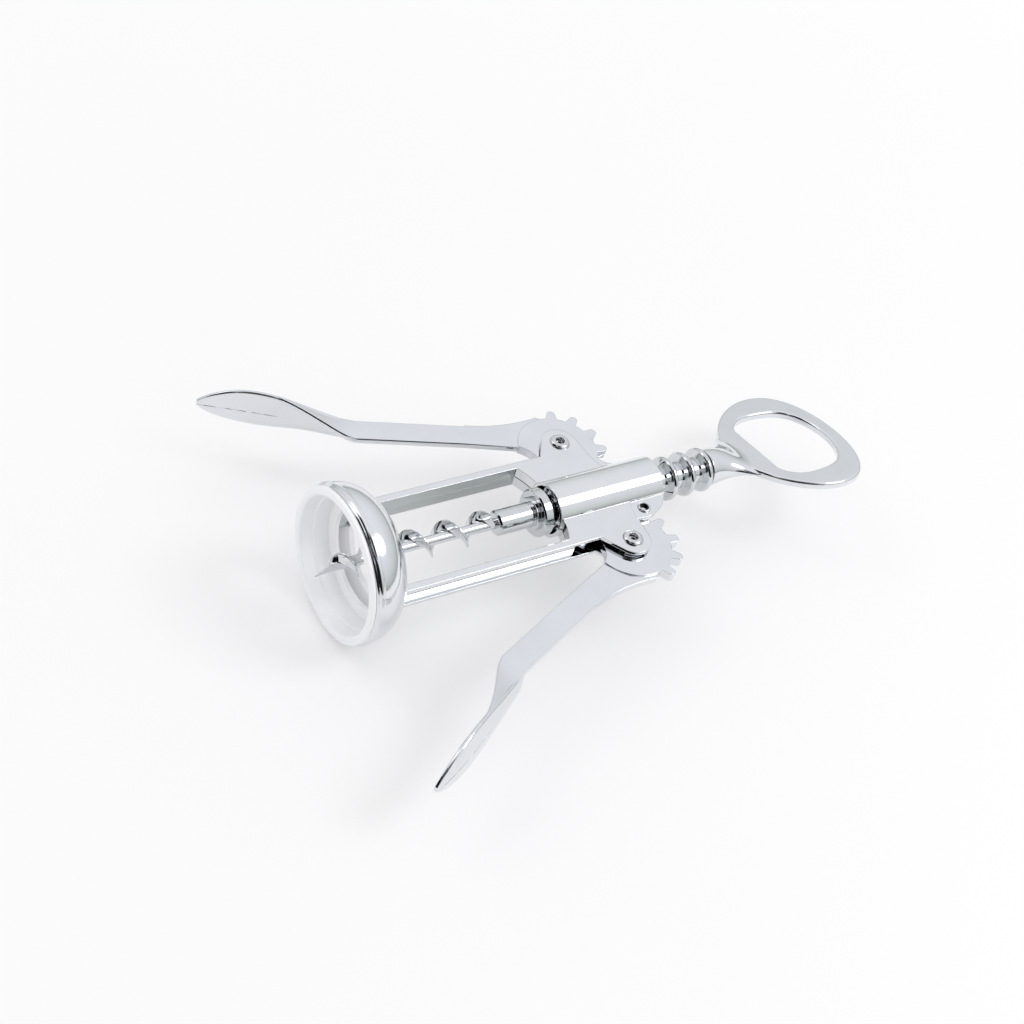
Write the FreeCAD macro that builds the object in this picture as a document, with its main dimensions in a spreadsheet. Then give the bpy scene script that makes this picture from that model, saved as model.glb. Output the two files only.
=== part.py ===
import FreeCAD, Part
import Sketcher
import math
import os

from FreeCAD import Placement, Rotation, Vector

# Wing corkscrew, lying with its axis level.
# X runs along the axis from the bell's mouth to the cap lifter, Y across to the far lever,
# Z is the normal of the plane in which both levers swing. Millimetres.

doc = FreeCAD.newDocument("wing_corkscrew")
sheet = doc.addObject("Spreadsheet::Sheet", "sizes")

SIZES = [
    ("sheet_thickness", 0.85, "steel of the pressed frame halves"),
    ("frame_depth", 5.8, "front face to back face of the frame"),
    ("leg_spacing", 25.4, "clear width between the two legs"),
    ("leg_width", 1.9, "width of a leg's flange"),
    ("leg_foot_length", 0.8, "length of a leg's foot"),
    ("barrel_start", 59.8, "lower end of the barrel"),
    ("barrel_length", 31.7, "length of the barrel"),
    ("pivot_height", 74.2, "pivots above the bell's mouth"),
    ("lobe_radius", 4.75, "round end of the plate about a pivot"),
    ("shoulder_drop", 7.7, "where the plate leaves the leg, below the pivots"),
    ("plate_reach", 6.8, "plate's upper end above the pivots, beside the barrel"),
    ("waist_reach", 5.2, "plate's waist above the pivots"),
    ("waist_inset", 5.5, "plate's waist nearer the axis than the pivots"),
    ("wall_start", 1.6, "leg's inner edge ends this far below the barrel"),
    ("rivet_shank_radius", 1.6, "shank of a pivot rivet"),
    ("rivet_head_radius", 2.7, "head of a pivot rivet"),
    ("rivet_head_height", 0.75, "height of a pivot rivet's head"),
    ("eyelet_reach", 9.1, "eyelets above the pivots"),
    ("eyelet_x", "=pivot_height + eyelet_reach", "eyelets above the bell's mouth"),
    ("eyelet_y", 9.2, "eyelets from the axis"),
    ("ear_drop", 0.3, "ears below the plates' faces"),
    ("eyelet_hole_radius", 1.0, "hole through an eyelet"),
    ("eyelet_head_radius", 1.75, "rolled head of an eyelet"),
    ("eyelet_wall", 0.35, "wall of an eyelet"),
    ("running_clearance", 0.05, "radial clearance of shafts and pins"),
    ("ring_radius", 5.88, "outside of the rack's rings"),
    ("ring_pitch", 5.64, "pitch of the rack's rings"),
    ("ring_count", 9, "number of rings on the rack"),
    ("ring_tip_width", 1.5, "width of a ring at its crown"),
    ("ring_root_width", 2.7, "width of a ring at its root"),
    ("groove_radius", 3.6, "core between the rings"),
    ("barrel_play", 0.32, "rings' crowns to the barrel's bore"),
    ("barrel_bore", "=2 * (ring_radius + barrel_play)", "bore of the barrel that guides the rack"),
    ("mesh_gap", 0.4, "rings' crown to the gears' pitch circle"),
    ("pitch_radius", 11.3, "pitch circle of a lever's gear"),
    ("root_depth", 0.7, "pitch circle to the root circle"),
    ("tooth_clearance", 0.63, "teeth's tips to the rack's core"),
    ("root_radius", "=pitch_radius - root_depth", "root circle of a lever's gear"),
    ("rack_distance", "=ring_radius + mesh_gap + pitch_radius", "pivots from the axis"),
    ("tip_radius", "=rack_distance - groove_radius - tooth_clearance", "tip circle of the gear"),
    ("tooth_base_width", 2.8, "tooth width at the root circle"),
    ("tooth_tip_width", 1.9, "tooth width at the tip circle"),
    ("tooth_count", 8, "teeth on a lever"),
    ("gear_thickness", 2.4, "thickness of a lever's gear head"),
    ("arm_angle", 22.3, "levers out from the axis at rest"),
    ("arm_width", 6.9, "width of a lever's flat arm"),
    ("arm_inset", 0.95, "arm's inner edge inside the pivot's line"),
    ("arm_thickness", 1.8, "thickness of the flat arm"),
    ("arm_droop", 0.95, "fall of the arm from pivot to crease"),
    ("crease_length", 52.3, "pivot to the crease at the paddle"),
    ("paddle_length", 39.2, "crease to the paddle's tip"),
    ("paddle_root_width", 6.5, "height of the paddle's leaf next to the crease"),
    ("paddle_rise", 4.0, "leaf's upper edge above the arm's face"),
    ("paddle_fall", 1.25, "fall of the leaf's lower edge past its root"),
    ("paddle_thickness", 1.7, "paddle's leaf at its middle"),
    ("paddle_spread", 5.45, "leaf's tip outward of the arm's outer edge"),
    ("paddle_lean", 6.0, "leaf's lean out of the upright, in degrees"),
    ("shelf_length", 22.8, "crease to where the arm's face runs out on the leaf"),
    ("shelf_end_width", 1.1, "width of the shelf where it runs out"),
    ("bell_radius", 19.5, "greatest radius of the chrome bell"),
    ("bell_lip", 1.9, "chrome bell's rim, from its bore to its greatest radius"),
    ("flange_set_back", 0.5, "insert's flange inside the bell's greatest radius"),
    ("insert_rim", 2.2, "width of the insert's rim at the mouth"),
    ("insert_step", 0.9, "step from the mouth's bore inward"),
    ("insert_throat_step", 3.5, "step from that bore to the throat"),
    ("insert_flange_radius", "=bell_radius - flange_set_back", "insert's flange at the mouth"),
    ("insert_mouth_radius", "=insert_flange_radius - insert_rim", "bore at the mouth"),
    ("insert_step_radius", "=insert_mouth_radius - insert_step", "bore behind the first step"),
    ("insert_throat_radius", "=insert_step_radius - insert_throat_step", "bore at the inner end"),
    ("insert_length", 8.5, "mouth to the insert's inner end"),
    ("bell_crown", 3.2, "widest place of the bell above its mouth"),
    ("bell_round", 9.7, "radius of the bell's rounded shoulder"),
    ("bell_wall", 1.25, "thickness of the bell's shoulder"),
    ("bell_front", 1.1, "bell's front edge above the mouth"),
    ("bell_cap", 7.2, "width of the bell's shoulder as seen along the axis"),
    ("bell_eye_radius", "=bell_radius - bell_cap", "opening at the top of the bell"),
    ("collar_length", 2.8, "length of the guide collar"),
    ("collar_start", 55.8, "guide collar above the mouth at rest"),
    ("sleeve_radius", 3.2, "sleeve on the worm's shank"),
    ("sleeve_length", 11.1, "length of the sleeve"),
    ("sleeve_flange_radius", 4.3, "flange at the sleeve's upper end"),
    ("sleeve_flange_length", 1.1, "length of that flange"),
    ("worm_core_radius", 1.3, "core of the worm"),
    ("worm_fin_radius", 4.0, "outside of the worm's fin"),
    ("worm_pitch", 10.0, "pitch of the fin"),
    ("worm_tip_reach", 5.1, "worm's point beyond the bell's mouth"),
    ("worm_tip_offset", 1.5, "worm's point off the axis"),
    ("fin_base_width", 2.2, "fin at the core"),
    ("fin_edge_width", 0.4, "fin at its edge"),
    ("neck_radius", 5.0, "neck above the rack"),
    ("neck_length", 11.8, "rack's end to the flat loop"),
    ("loop_thickness", 2.2, "flat loop of the cap lifter"),
    ("loop_roll", 11.0, "turn of the loop about the axis at rest"),
    ("loop_sway", 0.9, "loop's middle off the axis"),
    ("loop_length", 34.9, "loop from its root to its end"),
    ("loop_width", 42.6, "greatest width of the loop"),
    ("lip_distance", 7.2, "loop's root to the cap lifter's lip"),
    ("lip_width", 18.0, "straight lip of the cap lifter"),
    ("loop_end_rim", 4.3, "metal between the hole and the loop's end"),
    ("loop_side_rim", 7.4, "metal on each side of the hole"),
    ("hole_length", "=loop_length - lip_distance - loop_end_rim", "lip to the hole's far side"),
    ("hole_width", "=loop_width - 2 * loop_side_rim", "greatest width of the hole"),
]
for row, (alias, value, note) in enumerate(SIZES, start=1):
    sheet.set(f"A{row}", note)
    sheet.set(f"B{row}", str(value))
    sheet.setAlias(f"B{row}", alias)
doc.recompute()


def size(alias):
    """A driving dimension, read from the sheet."""
    return float(sheet.get(alias))


def cell(alias):
    """The expression that binds a property to a cell of the sheet."""
    return f"<<sizes>>.{alias}"


# ---- small helpers ----------------------------------------------------------------------

def new_body(name):
    body = doc.addObject("PartDesign::Body", name)
    body.Label = name
    return body


def new_sketch(body, name, role, offset=0.0):
    """An empty sketch on one of the body's own origin planes, moved along its normal."""
    plane = next(f for f in body.Origin.OriginFeatures if f.Role == role)
    sketch = body.newObject("Sketcher::SketchObject", name)
    sketch.AttachmentSupport = (plane, [""])
    sketch.MapMode = "FlatFace"
    sketch.AttachmentOffset = Placement(Vector(0, 0, offset), Rotation())
    return sketch


def draw(sketch, start, steps):
    """A closed outline: a step is its end point, or (mid point, end point) for an arc."""
    here = start
    for step in steps:
        if isinstance(step[0], tuple):
            middle, there = step
            edge = Part.Arc(Vector(*here, 0), Vector(*middle, 0), Vector(*there, 0))
        else:
            there = step
            edge = Part.LineSegment(Vector(*here, 0), Vector(*there, 0))
        sketch.addGeometry(edge, False)
        here = there


def draw_symmetric(sketch, points, middle):
    """A smooth curve through points and their mirror images, closed by a straight line.
    The points count from the line y = middle."""
    half = [Vector(x, middle + y, 0) for x, y in points]
    mirrored = [Vector(x, middle - y, 0) for x, y in points[-2::-1]]
    curve = Part.BSplineCurve()
    curve.interpolate(half + mirrored)
    sketch.addGeometry(curve, False)
    sketch.addGeometry(Part.LineSegment(mirrored[-1], half[0]), False)


def draw_circle(sketch, centre, alias):
    """A circle whose radius is bound to the sheet."""
    circle = Part.Circle(Vector(*centre, 0), Vector(0, 0, 1), size(alias))
    index = sketch.addGeometry(circle, False)
    constraint = sketch.addConstraint(Sketcher.Constraint("Radius", index, size(alias)))
    sketch.setExpression(f"Constraints[{constraint}]", cell(alias))


def pad(body, sketch, length, alias=None, midplane=False):
    feature = body.newObject("PartDesign::Pad", f"{sketch.Name}_pad")
    feature.Profile = sketch
    feature.Length = length
    if alias:
        feature.setExpression("Length", cell(alias))
    if midplane:
        feature.SideType = "Symmetric"
    return feature


def pocket(body, sketch, length, reverse=False, midplane=False):
    feature = body.newObject("PartDesign::Pocket", f"{sketch.Name}_cut")
    feature.Profile = sketch
    feature.Length = length
    feature.Reversed = reverse
    if midplane:
        feature.SideType = "Symmetric"
    return feature


def revolve(body, sketch, axis):
    feature = body.newObject("PartDesign::Revolution", f"{sketch.Name}_turned")
    feature.Profile = sketch
    feature.ReferenceAxis = (sketch, [axis])
    feature.Angle = 360
    return feature


def on_circle(centre, radius, degrees):
    angle = math.radians(degrees)
    return (centre[0] + radius * math.cos(angle), centre[1] + radius * math.sin(angle))


# ---- sizes that several pieces share ------------------------------------------------------

half_depth = size("frame_depth") / 2
inner_face = half_depth - size("sheet_thickness")
leg_inner = size("leg_spacing") / 2
leg_outer = leg_inner + size("leg_width")
bore_radius = size("barrel_bore") / 2
barrel_outer = bore_radius + size("sheet_thickness")
barrel_end = size("barrel_start") + size("barrel_length")
pivot_x = size("pivot_height")
pivot_y = size("rack_distance")
tooth_angle = math.degrees(size("ring_pitch") / size("pitch_radius"))
moving_gap = 0.3
seat_gap = 0.05
fit_gap = size("running_clearance")
bell_bore = size("bell_radius") - size("bell_lip")
bell_centre = (size("bell_crown"), size("bell_radius") - size("bell_round"))
bell_inner_bend = size("bell_round") - size("bell_wall")


def bell_inside(x):
    """Inner radius of the bell's shoulder at a distance above the mouth."""
    along = x - bell_centre[0]
    return bell_centre[1] + math.sqrt(bell_inner_bend ** 2 - along ** 2)


# ---- frame halves -------------------------------------------------------------------------
# Each half is one pressing: half of the barrel, a plate on each side of it that carries the
# pivots, an ear on one side, and two legs whose webs meet the other half's webs. The back is
# the same pressing turned over.

def tangent_point(start, centre, radius, side):
    """Where a line from start touches a circle."""
    dx = centre[0] - start[0]
    dy = centre[1] - start[1]
    distance = math.hypot(dx, dy)
    angle = math.atan2(dy, dx) + side * math.asin(radius / distance)
    reach = math.sqrt(distance ** 2 - radius ** 2)
    return (start[0] + reach * math.cos(angle), start[1] + reach * math.sin(angle))


def mirror_steps(steps, side):
    """The steps of an outline, on the side +1 or -1 of the X axis."""
    flipped = []
    for step in steps:
        if isinstance(step[0], tuple):
            middle, end = step
            flipped.append(((middle[0], side * middle[1]), (end[0], side * end[1])))
        else:
            flipped.append((step[0], side * step[1]))
    return flipped


def wall_points():
    """A leg's inner edge ends at the first point; an arc through the second meets the barrel."""
    leg_end = (size("barrel_start") - size("wall_start"), leg_inner)
    barrel_side = (size("barrel_start") + 0.6, bore_radius)
    half_way = (size("barrel_start") - 0.1, (leg_inner + bore_radius) / 2 - 0.15)
    return leg_end, half_way, barrel_side


def plate_outline(side):
    """One side's plate with its leg flange, as (start, steps); side is +1 or -1."""
    pivot = (pivot_x, pivot_y)
    lobe = size("lobe_radius")
    foot_start = size("insert_length") + seat_gap
    foot_end = foot_start + size("leg_foot_length")
    foot_reach = bell_inside(foot_end) - 2 * seat_gap
    foot_outer = math.sqrt(foot_reach ** 2 - half_depth ** 2)
    shoulder = (pivot_x - size("shoulder_drop"), leg_outer)
    touch = tangent_point(shoulder, pivot, lobe, 1)
    touch_angle = math.degrees(math.atan2(touch[1] - pivot[1], touch[0] - pivot[0]))
    lobe_end = on_circle(pivot, lobe, 5)
    lobe_middle = on_circle(pivot, lobe, (touch_angle + 5) / 2)
    waist = (pivot_x + size("waist_reach"), pivot_y - size("waist_inset"))
    beside_barrel = (pivot_x + size("plate_reach"), bore_radius)
    hollow = (pivot_x + size("waist_reach") + 0.4, (waist[1] + bore_radius) / 2 - 0.34)
    leg_end, wall_middle, wall_end = wall_points()
    steps = mirror_steps([
        leg_end,
        (wall_middle, wall_end),
        beside_barrel,
        (hollow, waist),
        lobe_end,
        (lobe_middle, touch),
        shoulder,
        (foot_end, leg_outer),
        (foot_end, foot_outer),
        (foot_start, foot_outer),
        (foot_start, leg_inner),
        leg_end,
    ], side)
    return steps[0], steps[1:]


def build_frame_half(name, turned_over):
    body = new_body(name)

    plates = new_sketch(body, f"{name}_plates", "XY_Plane", inner_face)
    for side in (1, -1):
        start, steps = plate_outline(side)
        draw(plates, start, steps)
    pad(body, plates, size("sheet_thickness"), "sheet_thickness")

    # An ear beside the barrel, on one side only, lies a little lower than the plate.
    eye = (size("eyelet_x"), size("eyelet_y"))
    ear = new_sketch(body, f"{name}_ear", "XY_Plane", inner_face - size("ear_drop"))
    ear_start = pivot_x + 4.5
    ear_end = barrel_end - 0.4
    ear_rim = size("eyelet_head_radius") + 1.25
    draw(ear, (ear_start, -bore_radius), mirror_steps([
        (ear_end, bore_radius),
        (ear_end, bore_radius + 0.9),
        (ear_end - 2.3, eye[1] + 0.6),
        (eye[0] + 1.9, eye[1] + ear_rim - 0.4),
        ((eye[0] - 0.9, eye[1] + ear_rim), (ear_start, eye[1] + ear_rim - 0.6)),
        (ear_start, bore_radius),
    ], -1))
    pad(body, ear, size("sheet_thickness"), "sheet_thickness")

    section = new_sketch(body, f"{name}_barrel", "YZ_Plane", size("barrel_start"))
    draw(section, (barrel_outer, 0), [
        ((0, barrel_outer), (-barrel_outer, 0)),
        (-bore_radius, 0),
        ((0, bore_radius), (bore_radius, 0)),
        (barrel_outer, 0),
    ])
    pad(body, section, size("barrel_length"), "barrel_length")

    # A leg's web stops short of the circle that the gear's teeth sweep, and turns across to
    # the barrel.
    webs = new_sketch(body, f"{name}_webs", "XY_Plane")
    web_outer = leg_inner + size("sheet_thickness")
    sweep = size("tip_radius") + moving_gap
    web_clear = sweep + 1.0
    web_end = pivot_x - math.sqrt(web_clear ** 2 - (pivot_y - web_outer) ** 2)
    web_start = size("insert_length") + seat_gap
    leg_end, wall_middle, wall_end = wall_points()
    for side in (1, -1):
        wall_back = (wall_end[0] + size("sheet_thickness"), wall_end[1])
        back_middle = (wall_middle[0] + size("sheet_thickness"), wall_middle[1])
        draw(webs, (web_start, side * leg_inner), mirror_steps([
            leg_end,
            (wall_middle, wall_end),
            wall_back,
            (back_middle, (web_end, web_outer)),
            (web_start, web_outer),
            (web_start, leg_inner),
        ], side))
    pad(body, webs, half_depth)

    # Windows in the barrel's sides let the teeth reach the rack.
    windows = new_sketch(body, f"{name}_windows", "XY_Plane")
    window_height = size("gear_thickness") / 2 + moving_gap
    reach = math.sqrt(sweep ** 2 - (pivot_y - barrel_outer) ** 2)
    past = 0.5
    for side in (1, -1):
        near = side * (bore_radius - 3 * past)
        far = side * (barrel_outer + past)
        draw(windows, (pivot_x - reach, near), [
            (pivot_x + reach, near),
            (pivot_x + reach, far),
            (pivot_x - reach, far),
            (pivot_x - reach, near),
        ])
    pocket(body, windows, window_height, reverse=True)

    holes = new_sketch(body, f"{name}_holes", "XY_Plane")
    for side in (1, -1):
        draw_circle(holes, (pivot_x, side * pivot_y), "rivet_shank_radius")
    eyelet_shank = size("eyelet_hole_radius") + size("eyelet_wall")
    holes.addGeometry(Part.Circle(Vector(eye[0], -eye[1], 0), Vector(0, 0, 1), eyelet_shank), False)
    pocket(body, holes, half_depth * 2, reverse=True)

    if turned_over:
        body.Placement = Placement(Vector(0, 0, 0), Rotation(Vector(1, 0, 0), 180))
    return body


# ---- fasteners ----------------------------------------------------------------------------
# Hollow-headed rivets join the halves at the pivots; a lever turns on each shank. A short
# eyelet is rolled into each half's ear.

def build_pivot_rivets():
    solids = []
    shank = size("rivet_shank_radius")
    head = size("rivet_head_radius")
    height = size("rivet_head_height")
    dimple = shank * 0.75
    cup = 1.2
    brow = head - 0.25 * (head - dimple)
    for side, word in ((1, "far"), (-1, "near")):
        body = doc.addObject("PartDesign::Body", f"{word}_pivot_rivet")
        profile = new_sketch(body, f"{word}_pivot_rivet_profile", "XZ_Plane")
        top = half_depth + height
        draw(profile, (0, -top + cup), [
            (dimple * 0.8, -top + cup),
            (dimple, -top),
            ((brow, -half_depth - 0.75 * height), (head, -half_depth)),
            (shank, -half_depth),
            (shank, half_depth),
            (head, half_depth),
            ((brow, half_depth + 0.75 * height), (dimple, top)),
            (dimple * 0.8, top - cup),
            (0, top - cup),
            (0, -top + cup),
        ])
        revolve(body, profile, "V_Axis")
        body.Placement = Placement(Vector(pivot_x, side * pivot_y, 0), Rotation())
        solids.append(body)
    return join("pivot_rivets", solids)


def build_frame_eyelets():
    solids = []
    hole = size("eyelet_hole_radius")
    shank = hole + size("eyelet_wall")
    head = size("eyelet_head_radius")
    lip = 0.35
    rolled = 0.2
    rolled_radius = shank + 0.25
    ear_top = half_depth - size("ear_drop")
    ear_low = ear_top - size("sheet_thickness")
    for face in (1, -1):
        body = doc.addObject("PartDesign::Body", "frame_eyelet")
        profile = new_sketch(body, "frame_eyelet_profile", "XZ_Plane")
        top = ear_top + lip
        low = ear_low - rolled
        bulge = (0.5 * (hole + head), ear_top + 1.25 * lip)
        draw(profile, (hole, low), [
            (rolled_radius, low),
            (rolled_radius, ear_low),
            (shank, ear_low),
            (shank, ear_top),
            (head, ear_top),
            (bulge, (hole, top - 0.1)),
            (hole, low),
        ])
        revolve(body, profile, "V_Axis")
        turn = Rotation() if face > 0 else Rotation(Vector(1, 0, 0), 180)
        place = Vector(size("eyelet_x"), -face * size("eyelet_y"), 0)
        body.Placement = Placement(place, turn)
        solids.append(body)
    return join("frame_eyelets", solids)


def join(name, solids):
    """One sub-part that holds several separate solids."""
    group = doc.addObject("Part::Compound", name)
    group.Links = solids
    group.Label = name
    return group


# ---- levers -------------------------------------------------------------------------------
# Cast in one: a gear head that turns on the rivet, a flat arm, and a paddle twisted square to
# the arm. Built with the arm along local X and the outer side at outward * Y.

def smoothstep(low, high, value):
    ratio = min(max((value - low) / (high - low), 0.0), 1.0)
    return ratio * ratio * (3 - 2 * ratio)


def draw_gear(sketch, side):
    """Root circle with its run of teeth, cut back on the inner side next to the arm."""
    root = size("root_radius")
    tip = size("tip_radius")
    base_half = math.degrees(size("tooth_base_width") / 2 / root)
    tip_half = math.degrees(size("tooth_tip_width") / 2 / tip)
    crown = 0.55
    flank_splay = 1.15
    notch = (6.7, -3.4)
    notch_angle = 4
    mesh = -(90 + size("arm_angle"))
    last = mesh + 1.5 * tooth_angle
    count = int(size("tooth_count"))
    centres = [last - index * tooth_angle for index in range(count)][::-1]
    steps = []
    for index, angle in enumerate(centres):
        shoulder = tip - crown
        steps.append(on_circle((0, 0), shoulder, angle - tip_half * flank_splay))
        top = on_circle((0, 0), tip, angle)
        steps.append((top, on_circle((0, 0), shoulder, angle + tip_half * flank_splay)))
        steps.append(on_circle((0, 0), root, angle + base_half))
        if index + 1 < count:
            following = centres[index + 1]
            gap_end = on_circle((0, 0), root, following - base_half)
            steps.append((on_circle((0, 0), root, (angle + following) / 2), gap_end))
    start = on_circle((0, 0), root, centres[0] - base_half)
    arm_side = on_circle((0, 0), root, -notch_angle)
    half_way = on_circle((0, 0), root, (centres[0] + 360 - notch_angle - base_half) / 2)
    steps.append((notch, arm_side))
    steps.append((half_way, start))
    draw(sketch, (start[0], side * start[1]), mirror_steps(steps, side))


def draw_bar(sketch, outward, centre, half_wide, half_thick, turn, crown, bulge):
    """A bar's section: its inner edge turns up and its outer edge down by the turn. The faces
    are crowned and the edges bulge."""
    angle = math.radians(turn)

    def place(across, through):
        """across runs from the inner edge to the outer, through from the lower face up."""
        away = centre[0] + across * math.cos(angle) + through * math.sin(angle)
        rise = centre[1] - across * math.sin(angle) + through * math.cos(angle)
        return (outward * away, rise)

    flank = half_wide - bulge
    edge_thick = half_thick - crown
    draw(sketch, place(-flank, -edge_thick), [
        (place(0, -half_thick), place(flank, -edge_thick)),
        (place(half_wide, 0), place(flank, edge_thick)),
        (place(0, half_thick), place(-flank, edge_thick)),
        (place(-half_wide, 0), place(-flank, -edge_thick)),
    ])


def build_lever(name, side):
    body = new_body(name)
    outward = -side
    arm_half = size("arm_width") / 2
    arm_middle = arm_half - size("arm_inset")
    crease = size("crease_length")

    head = new_sketch(body, f"{name}_gear", "XY_Plane")
    draw_gear(head, outward)
    pad(body, head, size("gear_thickness"), "gear_thickness", midplane=True)

    # The outer edge of the arm flares into the round head.
    flare = new_sketch(body, f"{name}_flare", "XY_Plane")
    outer = arm_middle + arm_half
    flare_end = 24.0
    flare_root = (2.0, 1.0)
    flare_bow = (13.2, outer + 1.5)
    flare_shoulder = (4.3, outer + 5.0)
    touch = on_circle((0, 0), size("root_radius") - 0.1, 78)
    draw(flare, (flare_root[0], outward * flare_root[1]), mirror_steps([
        (flare_end, flare_root[1]),
        (flare_end, outer),
        (flare_bow, flare_shoulder),
        touch,
        flare_root,
    ], outward))
    pad(body, flare, size("arm_thickness") * 0.9, midplane=True)

    # The arm falls a little from the flare to the crease.
    half_thick = size("arm_thickness") / 2
    arm_crown = 0.08
    arm_bulge = 0.3
    arm_start = 4.0
    loft = body.newObject("PartDesign::AdditiveLoft", f"{name}_arm")
    sections = []
    for station, fall in ((arm_start, 0.0), (flare_end, 0.0), (crease, size("arm_droop"))):
        section = new_sketch(body, f"{name}_arm_at_{int(station)}", "YZ_Plane", station)
        middle = (arm_middle, -fall)
        draw_bar(section, outward, middle, arm_half, half_thick, 0, arm_crown, arm_bulge)
        sections.append(section)
    loft.Profile = sections[0]
    loft.Sections = sections[1:]
    loft.Ruled = True

    # Past the crease the arm's face narrows to a shelf that climbs along the upright leaf.
    length = size("paddle_length")
    leaf_thick = size("paddle_thickness") / 2
    face = half_thick - size("arm_droop")

    def climb(along):
        """Height of the shelf's face and of the leaf's upper edge."""
        return face + size("paddle_rise") * smoothstep(0.03, 0.62, along / length)

    def leaf_outer(along):
        ratio = min(max(along / length, 0.0), 1.0)
        return outer + size("paddle_spread") * (1 - (1 - ratio) ** 1.5)

    shelf_length = size("shelf_length")
    shelf_lean = 8
    shelf_way = leaf_outer(shelf_length) - size("shelf_end_width") + size("arm_inset")

    def shelf_inner(along):
        """The shelf's inner edge crosses over towards the leaf in a soft S."""
        run = along / shelf_length
        crossed = (1 - math.exp(-1.85 * run ** 1.45)) / (1 - math.exp(-1.85))
        return shelf_way * crossed - size("arm_inset")

    shelf = body.newObject("PartDesign::AdditiveLoft", f"{name}_shelf")
    sections = []
    for part in (0.0, 0.12, 0.26, 0.42, 0.6, 0.8, 1.0):
        along = part * shelf_length
        section = new_sketch(body, f"{name}_shelf_{int(part * 100)}", "YZ_Plane", crease + along)
        half_wide = (leaf_outer(along) - shelf_inner(along)) / 2 - 0.4 * leaf_thick * part
        middle = shelf_inner(along) + half_wide
        turn = shelf_lean * smoothstep(0.0, 0.4, part)
        thick = half_thick * (1 - 0.25 * part)
        bulge = arm_bulge * (1 - 0.4 * part)
        centre = (middle, climb(along) - thick)
        draw_bar(section, outward, centre, half_wide, thick, turn, arm_crown, bulge)
        sections.append(section)
    shelf.Profile = sections[0]
    shelf.Sections = sections[1:]

    # The leaf stands on edge: its root drops from the arm, and it broadens and closes to a tip.
    upright = 90 - size("paddle_lean")
    root_bottom = face - size("paddle_root_width")

    widest = 0.64
    run_out = 0.365
    tip_drop = 0.6

    def draw_leaf(ratio):
        along = ratio * length
        section = new_sketch(body, f"{name}_leaf_{int(ratio * 100)}", "YZ_Plane", crease + along)
        past_widest = max(ratio - widest, 0.0) / run_out
        fade = (1 - past_widest ** 2) ** 0.75
        bottom = root_bottom - size("paddle_fall") * smoothstep(0.25, 0.6, ratio)
        wide = (climb(along) - bottom) / 2 * fade
        thick = leaf_thick * (0.45 + 0.55 * fade)
        middle = (climb(along) + bottom) / 2 - tip_drop * smoothstep(0.7, 1.0, ratio)
        centre = (leaf_outer(along) - 0.5 * leaf_thick, middle)
        draw_bar(section, outward, centre, wide, thick, upright, 0.3 * thick, 0.5 * thick * fade)
        return section

    root = body.newObject("PartDesign::AdditiveLoft", f"{name}_leaf_root")
    start = new_sketch(body, f"{name}_leaf_start", "YZ_Plane", crease - 0.6)
    start_centre = (outer - 0.9, face - half_thick)
    draw_bar(start, outward, start_centre, 0.6 * half_thick, 0.5 * leaf_thick, upright, 0.1, 0.1)
    first = draw_leaf(0.03)
    root.Profile = start
    root.Sections = [first]
    root.Ruled = True

    leaf = body.newObject("PartDesign::AdditiveLoft", f"{name}_leaf")
    leaf.Profile = first
    leaf.Sections = [draw_leaf(ratio) for ratio in
                     (0.14, 0.28, 0.4, 0.52, 0.64, 0.76, 0.86, 0.94, 0.98, 0.995)]

    # Hub faces run against the plates; the bore runs on the rivet's shank.
    hub = new_sketch(body, f"{name}_hub", "XY_Plane")
    hub_wall = 1.9
    hub_radius = size("rivet_shank_radius") + hub_wall
    hub.addGeometry(Part.Circle(Vector(0, 0, 0), Vector(0, 0, 1), hub_radius), False)
    pad(body, hub, 2 * (inner_face - 2 * fit_gap), midplane=True)
    bore = new_sketch(body, f"{name}_bore", "XY_Plane")
    bore_size = size("rivet_shank_radius") + fit_gap
    bore.addGeometry(Part.Circle(Vector(0, 0, 0), Vector(0, 0, 1), bore_size), False)
    pocket(body, bore, size("frame_depth"), midplane=True)

    turn = 180 - side * size("arm_angle")
    heading = Rotation(Vector(0, 0, 1), turn)
    body.Placement = Placement(Vector(pivot_x, side * pivot_y, 0), heading)
    return body


# ---- bell ---------------------------------------------------------------------------------

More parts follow.
